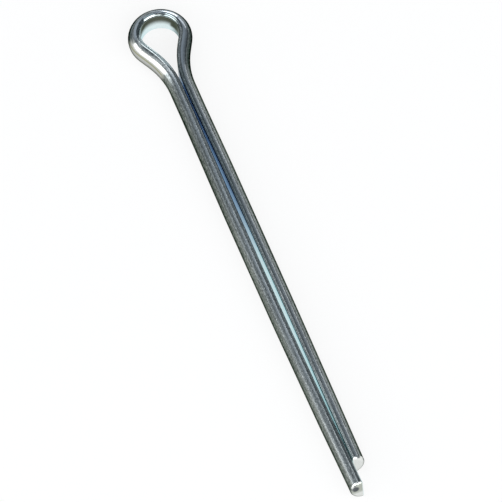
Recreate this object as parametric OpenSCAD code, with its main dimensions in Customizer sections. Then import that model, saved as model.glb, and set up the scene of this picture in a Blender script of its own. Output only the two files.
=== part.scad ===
// Cotter pin with an extended prong: one half-round wire, bent round an eye so that its legs lie flat to flat.
// X runs along the pin, from the eye at -X to the tips at +X. The eye lies in the XY plane, and Z is up.
// The origin is on the shank's axis, where the straight shank leaves the neck of the eye.
// Sizes are in millimetres.

/* [Shank] */
// Diameter across both legs where they leave the eye
shank_d = 5.65; // [5.0:0.05:6.4]
// Gap between the two flats under the eye
neck_gap = 0.28; // [0.16:0.02:0.4]
// Radius of the wire's rounded corners, between its flat and its round side
corner_r = 0.65; // [0.3:0.05:0.65]
// Length of the straight shank under the eye, before the legs bow
shank_run = 6; // [3:0.5:12]

/* [Length] */
// Length from the rim of the hole that the eye rests on to the end of the short leg
length = 102.9; // [80:0.1:130]
// Diameter of the hole that the pin is made for
hole_d = 6.75; // [6.6:0.05:7.5]
// How far the long leg reaches past the short one
prong = 5.9; // [3:0.1:10]

/* [Eye] */
// Width of the eye over its round sides
eye_w = 13.3; // [12.2:0.1:16]
// Angle at which each side of the neck opens
neck_angle = 27.3; // [25.1, 27.3, 28.45]
// Bend radius of the neck, at the flat
neck_r = 20; // [8:0.5:26]

/* [Legs] */
// How far the long leg bows out from the straight shank
bow_long = 0.26; // [0.1:0.02:0.4]
// How far the short leg bows out from the straight shank
bow_short = 0.14; // [0.1:0.02:0.4]
// Where the long leg turns in again, measured along the wire
long_turn = 60; // [48:1:75]
// Where the long leg turns in a second time
long_second_turn = 86; // [78:1:95]
// Where the short leg turns in again, measured along the wire
short_turn = 58; // [48:1:90]
// Bend radius of the slight bends in the legs
leg_bend_r = 200; // [100:10:250]

/* [Ends] */
// Radius of the rolled rim on the round side of each square-cut end
rim = 0.7; // [0.3:0.05:0.9]
// Radius of the eased edge where the end meets the flat
flat_rim = 0.2; // [0.1:0.05:0.4]

/* [Hidden] */
$fa = 0.5;
$fs = 0.25;
ROOM = 1; // what a cutting shape reaches past the wire
SLIGHT = acos(0.99995); // the slight bends of the legs turn by a slope of 1 in 100
SLIGHTER = acos(0.99999); // or by less than half of that

// The wire's section is a circle of the shank's radius, cut off by the flat.
shank_r = shank_d / 2;
flat_at = neck_gap / 2; // from the circle's centre to the flat
corner_z = sqrt(pow(shank_r - corner_r, 2) - pow(flat_at + corner_r, 2));

// The path of the flat from the crown of the eye: eye bend, straight flank, neck bend, leg.
eye_r = eye_w / 2 - shank_r + flat_at;
flank = (eye_r * cos(neck_angle) - flat_at - neck_r * (1 - cos(neck_angle))) / sin(neck_angle);
crown_x = -neck_r * sin(neck_angle) - flank * cos(neck_angle) - eye_r * (1 + sin(neck_angle));

// The hole's rim holds the eye where the neck has become as wide as the hole.
neck_outer_r = neck_r + flat_at - shank_r;
rest_angle = acos((neck_r + flat_at - hole_d / 2) / neck_outer_r);
short_end = length - neck_outer_r * sin(rest_angle);
long_end = short_end + prong;

// Along the wire, a slight bend takes up this much, and its lean brings a leg out by a bow in this run.
slight_len = leg_bend_r * SLIGHT * PI / 180;
slighter_len = leg_bend_r * SLIGHTER * PI / 180;
function rise(bow) = (bow - 2 * leg_bend_r * (1 - cos(SLIGHT))) / sin(SLIGHT);

module section() {
    // The flat lies on the Y axis, and the round side is towards +X.
    difference() {
        intersection() {
            translate([-flat_at, 0]) circle(r = shank_r);
            translate([0, -shank_r]) square([shank_r, 2 * shank_r]);
        }
        for (side = [1, -1]) corner_wedge(side);
    }
    for (side = [1, -1]) intersection() {
        translate([corner_r, side * corner_z]) circle(r = corner_r);
        corner_wedge(side);
    }
}

module corner_wedge(side) {
    // What a rounded corner takes up, seen from its centre: from the flat to where it meets the round side
    centre = [corner_r, side * corner_z];
    meeting = [flat_at + corner_r, side * corner_z] * shank_r / (shank_r - corner_r);
    polygon([
        centre,
        centre - [shank_r, 0],
        centre + [-shank_r, side * shank_r],
        centre + meeting
    ]);
}

// Each length of wire starts at the origin and heads along +X, with its flat in the XZ plane and its
// round side towards +Y. What follows it starts at its end.

module straight(run) {
    rotate([90, 0, 90]) linear_extrude(height = run) section();
    translate([run, 0]) children();
}

module bend(radius, angle) {
    // A positive radius turns towards the round side, and a negative one towards the flat. The bend is swept
    // a little too far and then cut where it ends, so that it meets what follows in one plane.
    outward = radius < 0 ? 1 : 0;
    spare = atan(ROOM / abs(radius));
    difference() {
        mirror([0, outward, 0]) translate([0, abs(radius)]) rotate([0, 0, -90])
            rotate_extrude(angle = angle + spare)
                translate([abs(radius), 0]) mirror([1 - outward, 0]) section();
        past_bend(radius, angle) translate([0, -ROOM, -shank_r - ROOM])
            cube([3 * ROOM, shank_r + 2 * ROOM, 2 * (shank_r + ROOM)]);
    }
    past_bend(radius, angle) children();
}

module past_bend(radius, angle) {
    translate([0, radius]) rotate([0, 0, sign(radius) * angle]) translate([0, -radius]) children();
}

module half_eye() {
    translate([crown_x, 0]) rotate([0, 0, 90])
        bend(-eye_r, 90 + neck_angle) straight(flank) bend(neck_r, neck_angle) children();
}

// The legs are measured along the wire: a lean of 1 in 100 shortens them by less than 0.01 mm.
module bowed_leg(bow, turn) {
    // Straight shank, slight bend out, slight bend back at the widest place, and on to where it turns in
    straight(shank_run) bend(leg_bend_r, SLIGHT) straight(rise(bow)) bend(-leg_bend_r, SLIGHT)
        straight(turn - shank_run - rise(bow) - 2 * slight_len) children();
}

module long_leg() {
    bowed_leg(bow_long, long_turn)
        bend(-leg_bend_r, SLIGHT) straight(long_second_turn - long_turn - slight_len)
        bend(-leg_bend_r, SLIGHT) square_end(long_end - long_second_turn - slight_len);
}

module short_leg() {
    bowed_leg(bow_short, short_turn)
        bend(-leg_bend_r, SLIGHTER) square_end(short_end - short_turn - slighter_len);
}

module square_end(run) {
    difference() {
        straight(run);
        translate([run, 0]) outside_rim();
    }
}

module outside_rim() {
    // What the rims take off, round an end face at the origin
    translate([0, -flat_at]) rotate([0, 90, 0]) rotate_extrude() outside_edge(shank_r, rim);
    translate([0, 0, -2 * shank_r]) linear_extrude(height = 4 * shank_r)
        rotate([0, 0, -90]) outside_edge(0, flat_rim);
}

module outside_edge(side, radius) {
    difference() {
        translate([side - radius, -radius]) square(radius + ROOM);
        translate([side - radius, -radius]) circle(r = radius);
    }
}

module cotter_pin() {
    color("silver") {
        half_eye() short_leg();
        mirror([0, 1, 0]) half_eye() long_leg();
    }
}

cotter_pin();
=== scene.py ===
"""Cotter pin: zinc-plated finish, white studio floor, soft lamps and the camera.

Everything is in metres, in the frame of the CAD model: X runs along the pin from the eye to the tips, the
eye lies in the XY plane, Z is up, and the origin is on the shank's axis where the shank leaves the neck.
"""
import math

import bpy
from mathutils import Matrix, Vector


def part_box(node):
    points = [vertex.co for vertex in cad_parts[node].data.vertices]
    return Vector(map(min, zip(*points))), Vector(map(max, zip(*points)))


MM = 0.001

# ---- camera: how the pin lies in the picture ----
IMAGE_SIZE = 502  # pixels
PIN_DIP = 31.17  # degrees that the pin runs towards the camera, out of the picture's plane
PIN_ROLL = 10.26  # degrees that the pin is rolled about its axis
PIN_LEAN = 24.15  # degrees between the pin and the picture's vertical
PIXEL = 0.2048 * MM
ORIGIN_PIXEL = (182.19, 87.90)  # where the CAD origin falls in the picture
LENS = 1500.0  # mm, so long that the view is nearly parallel
SENSOR = 36.0  # mm
CLIP_START = 0.1  # as a share of the camera's distance
CLIP_END = 10.0

# ---- the wire's path, as the CAD model has it: eye, straight flank, neck bend, leg ----
SHANK_R = 5.65 / 2 * MM
FLAT_AT = 0.28 / 2 * MM  # from the middle plane to each flat, under the eye
EYE_R = 13.3 / 2 * MM - SHANK_R + FLAT_AT  # the flat's bend in the eye
NECK_R = 20 * MM  # the flat's bend in the neck
NECK_ANGLE = math.radians(27.3)
NECK_SIN = math.sin(NECK_ANGLE)
NECK_COS = math.cos(NECK_ANGLE)
NECK_Y = NECK_R + FLAT_AT
NECK_RUN = NECK_R * NECK_ANGLE  # length of the flat in the neck
FLANK_RUN = (EYE_R * NECK_COS - FLAT_AT - NECK_R * (1 - NECK_COS)) / NECK_SIN  # and in the flank
EYE_X = -(NECK_R + EYE_R) * NECK_SIN - FLANK_RUN * NECK_COS  # the middle of the eye
CROWN = NECK_RUN + FLANK_RUN + EYE_R * (math.pi / 2 + NECK_ANGLE)  # from the shank, along the wire
SHANK_RUN = 6 * MM  # the legs are straight so far, and then lean out
LEAN = 0.01  # slope at which they do
BOW_LONG = 0.26 * MM  # how far the long leg leans out
BOW_SHORT = 0.14 * MM
LONG_TURN = 60 * MM  # where the long leg turns in
LONG_SECOND_TURN = 86 * MM
SHORT_TURN = 58 * MM
SHORT_LEAN = 0.00447  # slope at which the short leg comes back in

# ---- studio ----
FLOOR_REACH = 6.0  # metres from its middle to each edge
FLOOR_COLOUR = (0.97, 0.97, 0.97)
FLOOR_OWN_WHITE = 0.84  # share of the floor's look that its shadows leave white
ROOM_TOP = (0.28, 0.31, 0.335)  # what the pin mirrors overhead
ROOM_SIDE = (0.42, 0.45, 0.47)  # near the horizon on the eye's left
ROOM_FAR_SIDE = (0.20, 0.22, 0.24)  # and on its right
ROOM_FOOT = (0.10, 0.10, 0.07)  # and at the very horizon
ROOM_LEFT_TO_RIGHT = (-0.3, 0.5)  # where the two sides meet, as Y of the direction
ROOM_FOOT_EDGE = (0.09, 0.05)  # where foot and sides meet, as Z of the direction
ROOM_TOP_EDGE = (0.25, 0.75)  # where sides and top meet

# Each lamp's name, the direction in which it stands, its width and height per metre of distance, its radiance
# (at 1 it looks white in a perfect mirror) and its distance in metres.
LAMPS = (
    ("front", (0.84, 0.15, 0.55), 1.5, 1.0, 2.4, 1.5),
    ("left_of_eye", (-0.148, -0.959, 0.242), 0.64, 0.58, 2.2, 6.0),
    ("above_left", (-0.24, -0.22, 0.94), 0.26, 0.55, 2.8, 6.0),
    ("front_left", (0.45, -0.76, 0.47), 0.75, 0.45, 1.5, 1.5),
    ("left_low", (-0.56, -0.80, 0.19), 0.5, 0.24, 0.32, 1.5),
    ("left_high", (-0.515, -0.45, 0.73), 1.3, 0.17, 1.0, 1.8),
    ("behind", (-0.86, 0.50, 0.10), 0.35, 0.16, 3.0, 1.5),
    ("right_low", (-0.56, 0.80, 0.22), 0.4, 0.16, 1.0, 1.5),
)

# ---- patterns in the zinc: how far each is drawn out along the wire, its scale per mm and its noise ----
DRAW_MARKS = {"stretch": 60.0, "scale": 2.4, "detail": 3.0, "roughness": 0.6}
FINE_MARKS = {"stretch": 25.0, "scale": 7.0, "detail": 2.0, "roughness": 0.5}
CLOUDS = {"stretch": 4.0, "scale": 0.35, "detail": 2.0, "roughness": 0.5}
GRAIN = {"stretch": 1.8, "scale": 3.4, "detail": 3.0, "roughness": 0.7}
SPECK_GRAIN = (0.55, 0.72)  # grain above this is a bright speck
PIT_GRAIN = (0.45, 0.30)  # and below this a dark pit
SPECK_SHARE = 0.5
PIT_SHARE = 0.65
MARKS_IN_TONE = 0.9  # how strongly each pattern changes the tone
FINE_MARKS_IN_TONE = 0.5
CLOUDS_IN_TONE = 0.5
GRAIN_IN_TONE = 1.4
TONE_EDGES = (0.65, 1.30)  # their sum where the zinc is darkest and lightest
ROUGHNESS = 0.18
TONE_ROUGHNESS = -0.06  # light zinc is smoother
SPECK_ROUGHNESS = 0.10
BUMP_STRENGTH = 0.35
BUMP_DEPTH = 0.02 * MM
FINE_MARKS_BUMP = 0.4  # next to 1 for the draw marks
GRAIN_BUMP = 0.8

# ---- colours of the round side. A tint multiplies what is under it ----
ZINC_DARK = (0.20, 0.225, 0.23)
ZINC_LIGHT = (0.40, 0.435, 0.445)
# bright specks, and the colour of a painted highlight line near the long leg's tip
ZINC_SPECK_AND_HIGHLIGHT = (0.85, 0.90, 0.90)
ZINC_PIT = (0.06, 0.07, 0.07)
ZINC_HIGHLIGHT = (0.64, 0.71, 0.78)  # painted highlight lines, mostly where a rounded corner meets the round side
ZINC_FLANK_REFLECTION = (0.56, 0.57, 0.55)  # painted reflection on the outside of the left flank
ZINC_FLANK_DARK_LINE = (0.36, 0.37, 0.26)  # with one dull line painted along that painted reflection
SIDE_SHADE_TINT = (0.68, 0.69, 0.63)  # painted shade: the sides and lower parts are darker than the top
FAR_SIDE_SHADE_TINT = (0.42, 0.45, 0.47)  # painted shade, most of all on the right of the eye and at its top
FLECK_SHADE_TINT = (0.50, 0.51, 0.50)  # painted shade: a dark fleck at the top of the eye
LONG_LEG_SHADE_TINT = (0.74, 0.75, 0.75)  # painted shade on two stretches of the long leg
CORNER_SHADE_TINT = (0.45, 0.50, 0.52)  # painted shade on corners: the short leg's near the neck, and two in the eye
ZINC_GLANCING = (0.14, 0.155, 0.13)  # how much it mirrors at a glancing view

# ---- colours of the flats ----
FLAT_NECK_SHADE = (0.20, 0.27, 0.37)  # painted shade: darker near the neck
FLAT_BRIGHT = (0.78, 0.89, 0.90)  # halfway along, and in the eye; also painted as a highlight along the flat's upper edge and on corners
FLAT_TIP = (0.56, 0.65, 0.65)  # near the tips
FLAT_SHADE = (0.10, 0.11, 0.09)  # painted shade on the dark parts of the inside of the eye, and on the right flank's flat
FLAT_GLANCING = (0.77, 0.92, 0.95)  # how much they mirror at a glancing view
NECK_GLANCING_SHADE = (0.36, 0.54, 0.73)  # painted shade: it mirrors darker near the neck
SHADE_GLANCING = (0.42, 0.45, 0.42)  # on the painted-shade parts, but for the right flank

# ---- the sheared ends ----
CUT_STEEL_AND_RIM_HIGHLIGHT = (0.82, 0.84, 0.82)  # bare cut steel: the short leg's end and the pale lower part of the long leg's; also a painted highlight on the rims
CUT_STEEL_DULL = (0.50, 0.53, 0.48)  # the long leg's
CUT_STEEL_DARK = (0.13, 0.14, 0.15)  # a patch on it
ENDS_FROM = 90.0  # mm along the legs, past which a face that looks along them is an end
END_FACING = (0.45, 0.8)  # X of the surface's direction, on an end's face
RIM_FACING = (0.05, 0.15, 0.60, 0.80)  # and on the rim round it, where a highlight is painted
RIM_HEIGHT = (0.8, 1.4)  # the rim's painted highlight is only on its upper part
PALE_END_HEIGHT = (0.2, -1.0)  # the lower part of the long leg's end is pale
PATCH_ACROSS = 1.70  # mm, the dark patch's middle
PATCH_HEIGHT = 1.0
PATCH_SQUASH = 0.9  # how much distance in height counts, next to 1 across
PATCH_EDGE = (0.9, 0.3)  # square of the distance at which the patch starts and is full
PATCH_RAGGED = 0.8  # how far the clouds move its edge

# ---- where tones lie on the wire, in mm. Along is 0 where the shank leaves the neck and -20.2 at the crown
# of the eye, across starts at the flat, and height at the wire's middle plane. Two numbers are where a tone
# starts and is full, and four are where it starts, is full, is still full and is gone ----
LEFT = "left"  # the long leg's half of the pin
RIGHT = "right"  # the short leg's
ON_EYE = (1.0, -6.0)  # along, from the neck up into the eye
EYE_TOP = {"half": RIGHT, "along": (-20.1, -19.4, -18.0, -17.4)}  # the highest part of the eye in the picture
INNER_FLANK = {"half": LEFT, "along": (-15.5, -13.0, -6.0, -2.0)}

# Where painted shade darkens the sides, and more on the right of the eye and its left shoulder.
SIDES = {"across": (0.8, 1.4), "height": (2.15, 1.45)}
EYE_FAR_SIDE = {"half": RIGHT, "along": ON_EYE, "across": (1.3, 1.9)}
EYE_LEFT_SHOULDER = {"half": LEFT, "along": (-19.8, -18.8, -14.8, -14.0), "across": (1.50, 1.80)}
# Painted reflection on the outside of the left flank, with a painted dull line in it.
FLANK_REFLECTION_SIDE = {"half": LEFT, "across": (1.40, 1.62), "height": (-1.5, -0.2)}
FLANK_REFLECTION_ALONG = (-14.8, -13.4, -4.8, -3.2)
FLANK_REFLECTION_RAGGED = 2.4  # how far the clouds move its two ends
DARK_LINE_HEIGHT = (0.75, 1.0, 1.15, 1.4)

# Painted highlight lines on the round side, and a painted highlight strip at the top of the eye.
CREST = {"across": (0.80, 0.95, 1.12, 1.40), "height": (1.5, 2.0)}
CREST_SHARE = 0.45
CREST_EYE_MORE = 0.5  # on the right half of the eye the line is clearer
CREST_FLANK_LESS = 0.45  # and on the left flank it is missing
CREST_TIP_LESS = 0.4  # and it nearly ends at the long leg's tip
CREST_EYE = {"half": RIGHT, "along": ON_EYE}
CREST_TIP = {"half": LEFT, "along": (68.0, 92.0)}
NEAR_CREST = {"half": LEFT, "along": (-19.6, -18.6, -14.6, -13.6), "across": (0.80, 0.95, 1.20, 1.50)}
NEAR_CREST_SHARE = 0.85
FAR_CREST = {"half": RIGHT, "along": ON_EYE, "across": (0.80, 0.95, 1.35, 2.00), "height": (1.2, 1.8)}
FAR_CREST_SHARE = 0.6
# Painted highlight line near the long leg's tip.
TIP_HIGHLIGHT_LINE = {"half": LEFT, "along": (60.0, 96.0), "across": (1.78, 1.90, 2.02, 2.16)}
TIP_HIGHLIGHT_SHARE = 0.4
TOP_STRIP = {**EYE_TOP, "across": (0.42, 0.60, 1.10, 1.30)}
TOP_STRIP_SHARE = 0.9
# Painted shade outside the painted highlight strip, and a painted dark fleck on its inner side.
TOP_SHADE = {**EYE_TOP, "across": (1.30, 1.50, 2.00, 2.20)}
TOP_FLECK = {**EYE_TOP, "across": (0.52, 0.36)}

# Painted shade on two stretches of the long leg.
LONG_CORNER = {"half": LEFT, "along": (60.0, 90.0), "across": (1.0, 0.8)}
LONG_SIDE = {"half": LEFT, "along": (-2.0, 4.0, 24.0, 44.0), "across": (1.1, 1.5)}
# Painted shade on corners: the short leg's near the neck, and two in the eye.
SHORT_CORNER = {"half": RIGHT, "along": (-6.0, -2.0, 30.0, 60.0), "across": (1.0, 0.6)}
LEFT_EAR_CORNER = {"half": LEFT, "along": (-19.0, -18.2, -14.6, -13.6), "across": (0.95, 0.70)}
RIGHT_EAR_CORNER = {"half": RIGHT, "along": (-19.0, -18.2, -15.0, -12.0), "across": (0.95, 0.70)}

FLAT_EDGE = (0.24, 0.06)  # across
# How many mm the flat's brightness spreads out over its corner, and where, as painted highlight lines on the
# corners.
CORNER_SPREADS = (
    (0.65, INNER_FLANK),
    (0.65, {"half": LEFT, "along": (-17.9, -18.6)}),
    (0.65, {"half": RIGHT, "along": (-19.6, -20.0)}),
    (0.65, {"half": RIGHT, "along": (-17.9, -17.4, -15.6, -14.8)}),
    (0.15, {"half": RIGHT, "along": (70.0, 85.0)}),
)
FLAT_BRIGHT_FROM = {"along": (22.0, 50.0)}
FLAT_TIP_FROM = {"along": (74.0, 92.0)}
FLAT_EYE_FROM = {"along": (-3.0, -9.0)}
# Painted highlight along the flat's upper edge in the eye, weaker at its top.
FLAT_UPPER_EDGE = {"along": ON_EYE, "height": (2.0, 2.35)}
UPPER_EDGE_TOP_LESS = 0.5
# Painted shade on the flats: the right flank, two corners in the eye and the upper part of its inside.
FLAT_RIGHT_FLANK = {"half": RIGHT, "along": (-17.0, -14.0, -3.0, 0.0)}
LEFT_EAR = {"half": LEFT, "along": (-18.6, -17.6, -15.4, -13.6), "height": (-0.6, 0.8)}
RIGHT_EAR = {"half": RIGHT, "along": (-17.2, -16.2, -13.6, -12.2), "height": (-1.2, -0.1)}
INNER_TOP = {"along": ON_EYE, "height": (-1.0, 1.1)}
GLANCING_LEG = (48.0, 24.0)  # along; as painted shade, the flats mirror darker and bluer between this
GLANCING_EYE = (-9.0, -3.0)  # and this

# Sockets of a Mix node that mixes colours.
COLOUR_A = 6
COLOUR_B = 7
COLOUR_RESULT = 2


def camera_axes():
    """Right, down and towards-the-camera directions of the picture, in the CAD frame."""
    dip, roll, lean = (math.radians(a) for a in (PIN_DIP, PIN_ROLL, PIN_LEAN))
    across = Vector((0, math.cos(roll), math.sin(roll)))
    along = Vector((math.cos(dip), math.sin(dip) * math.sin(roll), -math.sin(dip) * math.cos(roll)))
    back = Vector((math.sin(dip), -math.sin(roll) * math.cos(dip), math.cos(roll) * math.cos(dip)))
    right = math.cos(lean) * across + math.sin(lean) * along
    down = -math.sin(lean) * across + math.cos(lean) * along
    return right, down, back


def add_camera():
    right, down, back = camera_axes()
    middle = (IMAGE_SIZE - 1) / 2
    aim = PIXEL * ((middle - ORIGIN_PIXEL[0]) * right + (middle - ORIGIN_PIXEL[1]) * down)
    distance = LENS * IMAGE_SIZE * PIXEL / SENSOR
    data = bpy.data.cameras.new("camera")
    data.lens = LENS
    data.sensor_width = SENSOR
    data.clip_start = CLIP_START * distance
    data.clip_end = CLIP_END * distance
    camera = bpy.data.objects.new("camera", data)
    bpy.context.scene.collection.objects.link(camera)
    turn = Matrix((right, -down, back)).transposed()
    camera.matrix_world = Matrix.Translation(aim + distance * back) @ turn.to_4x4()
    bpy.context.scene.camera = camera


class Nodes:
    """Short ways to add nodes to one material or world."""

    def __init__(self, tree):
        self.tree = tree

    def add(self, kind, **settings):
        node = self.tree.nodes.new(kind)
        for name, value in settings.items():
            setattr(node, name, value)
        return node

    def feed(self, socket, value):
        if isinstance(value, bpy.types.NodeSocket):
            self.tree.links.new(value, socket)
        else:
            socket.default_value = value

    def math(self, operation, *values):
        node = self.add("ShaderNodeMath", operation=operation)
        for socket, value in zip(node.inputs, values):
            self.feed(socket, value)
        return node.outputs[0]

    def total(self, first, *others):
        for other in others:
            first = self.math("ADD", first, other)
        return first

    def product(self, first, *others):
        for other in others:
            first = self.math("MULTIPLY", first, other)
        return first

    def scaled(self, value, factor, offset=0.0):
        return self.math("MULTIPLY_ADD", value, factor, offset)

    def length(self, x, y):
        return self.math("SQRT", self.total(self.product(x, x), self.product(y, y)))

    def swing(self, pattern, reach):
        """A pattern between 0 and 1, turned into a move to either side that spans reach."""
        return self.scaled(pattern, reach, -reach / 2)

    def pick(self, choice, when_one, when_zero):
        """when_zero where choice is 0, when_one where it is 1, and a blend between."""
        node = self.add("ShaderNodeMix", data_type="FLOAT")
        self.feed(node.inputs["Factor"], choice)
        self.feed(node.inputs["A"], when_zero)
        self.feed(node.inputs["B"], when_one)
        return node.outputs["Result"]

    def blend(self, share, under, over, blend_type="MIX"):
        """The colour under, with the colour over laid on it as far as share goes from 0 to 1."""
        node = self.add("ShaderNodeMix", data_type="RGBA", blend_type=blend_type)
        self.feed(node.inputs["Factor"], share)
        for index, colour in ((COLOUR_A, under), (COLOUR_B, over)):
            self.feed(node.inputs[index], (*colour, 1) if isinstance(colour, tuple) else colour)
        return node.outputs[COLOUR_RESULT]

    def tinted(self, share, colour, tint):
        """The colour, multiplied by the tint as far as share goes from 0 to 1."""
        return self.blend(share, colour, tint, blend_type="MULTIPLY")

    def ramp(self, value, low, high):
        """0 up to low, 1 from high, and a smooth rise between."""
        node = self.add("ShaderNodeMapRange", interpolation_type="SMOOTHSTEP")
        for socket, number in zip(node.inputs, (value, low, high)):
            self.feed(socket, number)
        return node.outputs[0]

    def within(self, value, edges):
        """A ramp over two edges. With four, 1 from the second to the third and 0 outside all of them."""
        if len(edges) == 2:
            return self.ramp(value, *edges)
        foot, low, high, end = edges
        return self.product(self.ramp(value, foot, low), self.ramp(value, end, high))

    def vector(self, x, y, z):
        node = self.add("ShaderNodeCombineXYZ")
        for socket, value in zip(node.inputs, (x, y, z)):
            self.feed(socket, value)
        return node.outputs[0]

    def coordinates(self, kind):
        """X, Y and Z of one kind of texture coordinate."""
        parts = self.add("ShaderNodeSeparateXYZ")
        self.feed(parts.inputs[0], self.add("ShaderNodeTexCoord").outputs[kind])
        return parts.outputs

    def noise(self, vector, scale, detail, roughness):
        node = self.add("ShaderNodeTexNoise")
        self.feed(node.inputs["Vector"], vector)
        node.inputs["Scale"].default_value = scale
        node.inputs["Detail"].default_value = detail
        node.inputs["Roughness"].default_value = roughness
        return node.outputs[0]


def come_in(n, x, turn, slope):
    """What a turn takes off a leg's bow, below 0, where the leg leans in by slope from there on."""
    return n.product(n.math("MAXIMUM", n.math("SUBTRACT", x, turn), 0.0), -slope)


def leg_bow(n, x, on_right):
    """How far a leg's flat is outside its place in the shank."""
    rise = n.product(n.math("MAXIMUM", n.math("SUBTRACT", x, SHANK_RUN), 0.0), LEAN)
    long_bow = n.total(
        n.math("MINIMUM", rise, BOW_LONG),
        come_in(n, x, LONG_TURN, LEAN),
        come_in(n, x, LONG_SECOND_TURN, LEAN),
    )
    short_bow = n.total(n.math("MINIMUM", rise, BOW_SHORT), come_in(n, x, SHORT_TURN, SHORT_LEAN))
    return n.pick(on_right, short_bow, long_bow)


def wire_place(n, x, side, on_right):
    """How far along the wire and across from its flat a point is, on leg, neck, flank and eye."""
    from_eye = n.math("SUBTRACT", x, EYE_X)
    below_neck = n.math("SUBTRACT", NECK_Y, side)
    past_neck = n.total(n.scaled(x, -NECK_COS), n.scaled(below_neck, -NECK_SIN))
    past_flank = n.total(n.scaled(from_eye, -NECK_COS), n.scaled(side, NECK_SIN))

    leg_across = n.math("SUBTRACT", n.math("SUBTRACT", side, FLAT_AT), leg_bow(n, x, on_right))
    neck_across = n.math("SUBTRACT", NECK_R, n.length(x, below_neck))
    flank_across = n.total(n.scaled(from_eye, NECK_SIN), n.scaled(side, NECK_COS, -EYE_R))
    eye_across = n.math("SUBTRACT", n.length(from_eye, side), EYE_R)

    neck_along = n.scaled(n.math("ARCTAN2", x, below_neck), NECK_R)
    flank_along = n.scaled(past_neck, -1.0, -NECK_RUN)
    eye_turn = n.math("ARCTAN2", past_flank, n.scaled(flank_across, 1.0, EYE_R))
    eye_along = n.scaled(eye_turn, -EYE_R, -NECK_RUN - FLANK_RUN)

    on_leg = n.math("GREATER_THAN", x, 0.0)
    on_neck = n.math("LESS_THAN", past_neck, 0.0)
    on_eye = n.math("GREATER_THAN", past_flank, 0.0)
    above_neck_along = n.pick(on_eye, eye_along, flank_along)
    above_neck_across = n.pick(on_eye, eye_across, flank_across)
    along = n.pick(on_leg, x, n.pick(on_neck, neck_along, above_neck_along))
    across = n.pick(on_leg, leg_across, n.pick(on_neck, neck_across, above_neck_across))
    return along, across


class Wire:
    """Where a point of the surface is on the wire, in mm, and the patterns that run along the wire."""

    def __init__(self, n):
        self.n = n
        x, y, z = n.coordinates("Object")
        half = n.math("SIGN", y)
        self.half = {RIGHT: n.math("GREATER_THAN", half, 0.0), LEFT: n.math("LESS_THAN", half, 0.0)}
        along, across = wire_place(n, x, n.math("ABSOLUTE", y), self.half[RIGHT])
        self.along = n.scaled(along, 1 / MM)
        self.across = n.scaled(across, 1 / MM)
        self.height = n.scaled(z, 1 / MM)
        # Measured from the crown, and below 0 on the left, so that the patterns run on round the eye.
        self.from_crown = n.product(n.scaled(self.along, 1.0, CROWN / MM), half)

        self.draw_marks = self.pattern(**DRAW_MARKS)
        self.fine_marks = self.pattern(**FINE_MARKS)
        self.clouds = self.pattern(**CLOUDS)
        self.grain = self.pattern(**GRAIN)
        self.specks = n.within(self.grain, SPECK_GRAIN)
        self.tone = self.mixed_tone()

    def pattern(self, stretch, **settings):
        """Noise that is drawn out along the wire by stretch."""
        drawn_out = self.n.scaled(self.from_crown, 1 / stretch)
        return self.n.noise(self.n.vector(drawn_out, self.across, self.height), **settings)

    def mixed_tone(self):
        n = self.n
        mix = n.total(
            n.scaled(self.draw_marks, MARKS_IN_TONE),
            n.scaled(self.fine_marks, FINE_MARKS_IN_TONE),
            n.scaled(self.clouds, CLOUDS_IN_TONE),
            n.swing(self.grain, GRAIN_IN_TONE),
        )
        return n.within(mix, TONE_EDGES)

    def on(self, half=None, along=None, across=None, height=None):
        """1 in a region of the wire, 0 outside, and smooth between."""
        shares = [self.half[half]] if half else []
        for value, edges in ((self.along, along), (self.across, across), (self.height, height)):
            if edges:
                shares.append(self.n.within(value, edges))
        return self.n.product(*shares)


def zinc_tone(n, wire):
    """Zinc between dark and light, with bright specks and dark pits."""
    pits = n.within(wire.grain, PIT_GRAIN)
    base = n.blend(wire.tone, ZINC_DARK, ZINC_LIGHT)
    base = n.blend(n.scaled(wire.specks, SPECK_SHARE), base, ZINC_SPECK_AND_HIGHLIGHT)
    return n.blend(n.scaled(pits, PIT_SHARE), base, ZINC_PIT)


def with_side_shade_and_reflection(n, wire, base):
    """Painted shade on the sides, and a painted reflection on the outside of the left flank with a painted
    dull line along it.
    """
    base = n.tinted(wire.on(**SIDES), base, SIDE_SHADE_TINT)
    for region in (EYE_FAR_SIDE, EYE_LEFT_SHOULDER):
        base = n.tinted(wire.on(**region), base, FAR_SIDE_SHADE_TINT)
    # Painted reflection on the outside of the left flank, with a painted dull line along it.
    ragged_along = n.total(wire.along, n.swing(wire.clouds, FLANK_REFLECTION_RAGGED))
    flank_reflection = n.product(wire.on(**FLANK_REFLECTION_SIDE), n.within(ragged_along, FLANK_REFLECTION_ALONG))
    base = n.blend(flank_reflection, base, ZINC_FLANK_REFLECTION)
    return n.blend(n.product(flank_reflection, n.within(wire.height, DARK_LINE_HEIGHT)), base, ZINC_FLANK_DARK_LINE)


def with_painted_highlights(n, wire, base):
    """Painted highlight lines along the wire: its crest, the line near the tip and the strip at the top of
    the eye.
    """
    crest_share = n.total(
        n.scaled(wire.on(**CREST_EYE), CREST_EYE_MORE, CREST_SHARE),
        n.scaled(wire.on(**INNER_FLANK), -CREST_FLANK_LESS),
        n.scaled(wire.on(**CREST_TIP), -CREST_TIP_LESS),
    )
    base = n.blend(n.product(wire.on(**CREST), crest_share), base, ZINC_HIGHLIGHT)
    for region, share, colour in (
        (NEAR_CREST, NEAR_CREST_SHARE, ZINC_HIGHLIGHT),
        (FAR_CREST, FAR_CREST_SHARE, ZINC_HIGHLIGHT),
        (TIP_HIGHLIGHT_LINE, TIP_HIGHLIGHT_SHARE, ZINC_SPECK_AND_HIGHLIGHT),
        (TOP_STRIP, TOP_STRIP_SHARE, ZINC_HIGHLIGHT),
    ):
        base = n.blend(n.scaled(wire.on(**region), share), base, colour)
    return base


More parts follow.
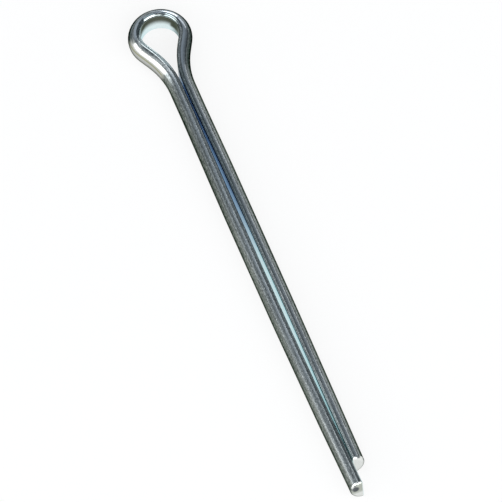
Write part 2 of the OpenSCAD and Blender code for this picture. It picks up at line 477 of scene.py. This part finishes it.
def with_painted_shade(n, wire, base):
    """Painted shade beside the painted highlight strip, on two stretches of the long leg and on corners."""
    for region, tint in (
        (TOP_SHADE, FAR_SIDE_SHADE_TINT),
        (TOP_FLECK, FLECK_SHADE_TINT),
        (LONG_CORNER, LONG_LEG_SHADE_TINT),
        (LONG_SIDE, LONG_LEG_SHADE_TINT),
        (SHORT_CORNER, CORNER_SHADE_TINT),
        (LEFT_EAR_CORNER, CORNER_SHADE_TINT),
        (RIGHT_EAR_CORNER, CORNER_SHADE_TINT),
    ):
        base = n.tinted(wire.on(**region), base, tint)
    return base


def flat_share(n, wire):
    """1 on the flat and 0 on the round side."""
    spread = n.total(*(n.scaled(wire.on(**region), reach) for reach, region in CORNER_SPREADS))
    return n.within(n.math("SUBTRACT", wire.across, spread), FLAT_EDGE)


def flat_shade_share(n, wire):
    """1 on the dark parts of the inside of the eye, where the flat gets painted shade."""
    off_flank = n.scaled(wire.on(**INNER_FLANK), -1.0, 1.0)
    inner_top = n.product(wire.on(**INNER_TOP), off_flank)
    ears = n.total(wire.on(**LEFT_EAR), wire.on(**RIGHT_EAR))
    return n.math("MAXIMUM", ears, inner_top)


def flat_colour(n, wire, shaded_flat):
    off_top = n.scaled(wire.on(**EYE_TOP), -UPPER_EDGE_TOP_LESS, 1.0)
    # Painted highlight along the flat's upper edge in the eye.
    upper_edge_highlight = n.product(wire.on(**FLAT_UPPER_EDGE), off_top)
    # Darker near the neck as painted shade.
    colour = n.blend(wire.on(**FLAT_BRIGHT_FROM), FLAT_NECK_SHADE, FLAT_BRIGHT)
    colour = n.blend(wire.on(**FLAT_TIP_FROM), colour, FLAT_TIP)
    colour = n.blend(wire.on(**FLAT_EYE_FROM), colour, FLAT_BRIGHT)
    # Painted shade inside the eye and on the right flank's flat.
    colour = n.blend(shaded_flat, colour, FLAT_SHADE)
    colour = n.blend(upper_edge_highlight, colour, FLAT_BRIGHT)
    return n.blend(wire.on(**FLAT_RIGHT_FLANK), colour, FLAT_SHADE)


def glancing_colour(n, wire, on_flat, shaded_flat):
    """How much the surface mirrors at a glancing view, as a colour, with painted shade near the neck and on
    the dark parts inside the eye.
    """
    near_neck = n.product(n.within(wire.along, GLANCING_LEG), n.within(wire.along, GLANCING_EYE))
    colour = n.blend(near_neck, FLAT_GLANCING, NECK_GLANCING_SHADE)
    colour = n.blend(shaded_flat, colour, SHADE_GLANCING)
    return n.blend(on_flat, ZINC_GLANCING, colour)


def with_ends(n, wire, base):
    """The sheared faces of the two ends, a dark patch on the long leg's, and a painted highlight on the upper
    part of their rims.
    """
    facing = n.coordinates("Normal")[0]
    near_tip = n.math("GREATER_THAN", wire.along, ENDS_FROM)
    patch_x = n.scaled(wire.across, 1.0, -PATCH_ACROSS)
    patch_z = n.scaled(wire.height, PATCH_SQUASH, -PATCH_SQUASH * PATCH_HEIGHT)
    from_patch = n.total(n.product(patch_x, patch_x), n.product(patch_z, patch_z))
    in_patch = n.within(n.total(from_patch, n.swing(wire.clouds, PATCH_RAGGED)), PATCH_EDGE)
    long_end = n.blend(n.within(wire.height, PALE_END_HEIGHT), CUT_STEEL_DULL, CUT_STEEL_AND_RIM_HIGHLIGHT)
    long_end = n.blend(in_patch, long_end, CUT_STEEL_DARK)
    face = n.blend(wire.half[LEFT], CUT_STEEL_AND_RIM_HIGHLIGHT, long_end)
    base = n.blend(n.product(n.within(facing, END_FACING), near_tip), base, face)
    # Painted highlight on the upper part of the rims.
    rim_highlight = n.product(n.within(facing, RIM_FACING), n.within(wire.height, RIM_HEIGHT), near_tip)
    return n.blend(rim_highlight, base, CUT_STEEL_AND_RIM_HIGHLIGHT)


def surface_bump(n, wire):
    bump = n.add("ShaderNodeBump")
    bump.inputs["Strength"].default_value = BUMP_STRENGTH
    bump.inputs["Distance"].default_value = BUMP_DEPTH
    relief = n.total(
        wire.draw_marks,
        n.scaled(wire.fine_marks, FINE_MARKS_BUMP),
        n.scaled(wire.grain, GRAIN_BUMP),
    )
    n.feed(bump.inputs["Height"], relief)
    return bump.outputs[0]


def new_material(name):
    """A new material, the helper for its nodes, and its shader."""
    material = bpy.data.materials.new(name)
    material.use_nodes = True
    return material, Nodes(material.node_tree), material.node_tree.nodes["Principled BSDF"]


def zinc_plating():
    """Bright zinc over drawn steel wire: lengthwise draw marks, cloudy tone and fine specks, with painted
    shade and painted highlights and reflections placed along the wire.
    """
    material, n, shader = new_material("zinc_plated_steel")
    wire = Wire(n)
    on_flat = flat_share(n, wire)
    shaded_flat = flat_shade_share(n, wire)
    base = zinc_tone(n, wire)
    base = with_side_shade_and_reflection(n, wire, base)
    base = with_painted_highlights(n, wire, base)
    base = with_painted_shade(n, wire, base)
    base = n.blend(on_flat, base, flat_colour(n, wire, shaded_flat))
    base = with_ends(n, wire, base)
    n.feed(shader.inputs["Base Color"], base)
    shader.inputs["Metallic"].default_value = 1.0
    n.feed(shader.inputs["Specular Tint"], glancing_colour(n, wire, on_flat, shaded_flat))
    smoothed = n.scaled(wire.tone, TONE_ROUGHNESS, ROUGHNESS)
    n.feed(shader.inputs["Roughness"], n.total(smoothed, n.scaled(wire.specks, SPECK_ROUGHNESS)))
    n.feed(shader.inputs["Normal"], surface_bump(n, wire))
    return material


def add_floor(height):
    mesh = bpy.data.meshes.new("floor")
    signs = ((-1, -1), (1, -1), (1, 1), (-1, 1))
    corners = [(x * FLOOR_REACH, y * FLOOR_REACH, height) for x, y in signs]
    mesh.from_pydata(corners, [], [tuple(range(len(corners)))])
    floor = bpy.data.objects.new("floor", mesh)
    bpy.context.scene.collection.objects.link(floor)
    floor.data.materials.append(floor_white())


def floor_white():
    """White where it is seen or mirrored, and still shaded a little by the pin."""
    material, n, shader = new_material("floor_white")
    shader.inputs["Base Color"].default_value = (*FLOOR_COLOUR, 1)
    shader.inputs["Roughness"].default_value = 1.0
    shader.inputs["Specular IOR Level"].default_value = 0.0
    ray = n.add("ShaderNodeLightPath").outputs
    mirrored = n.math("MAXIMUM", ray["Is Glossy Ray"], ray["Is Transmission Ray"])
    seen = n.math("MAXIMUM", ray["Is Camera Ray"], mirrored)
    white = n.add("ShaderNodeEmission")
    mixed = n.add("ShaderNodeMixShader")
    n.feed(mixed.inputs[0], n.scaled(seen, FLOOR_OWN_WHITE))
    n.feed(mixed.inputs[1], shader.outputs[0])
    n.feed(mixed.inputs[2], white.outputs[0])
    n.feed(material.node_tree.nodes["Material Output"].inputs["Surface"], mixed.outputs[0])
    return material


def add_lamp(name, direction, width, height, radiance, distance):
    """A rectangular lamp that faces the pin, with its width level."""
    data = bpy.data.lights.new(name, "AREA")
    data.shape = "RECTANGLE"
    data.size = width * distance
    data.size_y = height * distance
    data.energy = radiance * math.pi * data.size * data.size_y
    lamp = bpy.data.objects.new(name, data)
    bpy.context.scene.collection.objects.link(lamp)
    away = Vector(direction).normalized()
    level = Vector((0, 0, 1)).cross(away).normalized()
    turn = Matrix((level, away.cross(level), away)).transposed()
    lamp.matrix_world = Matrix.Translation(away * distance) @ turn.to_4x4()


def set_room():
    """A dim room, lightest near the horizon on the eye's left, and dark at its foot."""
    world = bpy.data.worlds.new("room")
    bpy.context.scene.world = world
    world.use_nodes = True
    n = Nodes(world.node_tree)
    _, y, z = n.coordinates("Generated")
    colour = n.blend(n.within(y, ROOM_LEFT_TO_RIGHT), ROOM_SIDE, ROOM_FAR_SIDE)
    colour = n.blend(n.within(z, ROOM_FOOT_EDGE), colour, ROOM_FOOT)
    colour = n.blend(n.within(z, ROOM_TOP_EDGE), colour, ROOM_TOP)
    n.feed(world.node_tree.nodes["Background"].inputs["Color"], colour)


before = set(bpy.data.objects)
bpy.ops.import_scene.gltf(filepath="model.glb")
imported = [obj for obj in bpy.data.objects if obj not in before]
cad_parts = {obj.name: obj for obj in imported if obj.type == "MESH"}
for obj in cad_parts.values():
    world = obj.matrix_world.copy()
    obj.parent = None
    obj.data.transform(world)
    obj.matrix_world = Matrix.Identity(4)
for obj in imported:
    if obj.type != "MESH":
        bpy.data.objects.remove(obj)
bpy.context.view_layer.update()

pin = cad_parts["cotter_pin"]
plating = zinc_plating()
for place in pin.material_slots:
    place.material = plating

set_room()
add_floor(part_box("cotter_pin")[0].z)
for lamp in LAMPS:
    add_lamp(*lamp)
add_camera()

bpy.context.scene.view_settings.view_transform = "Standard"
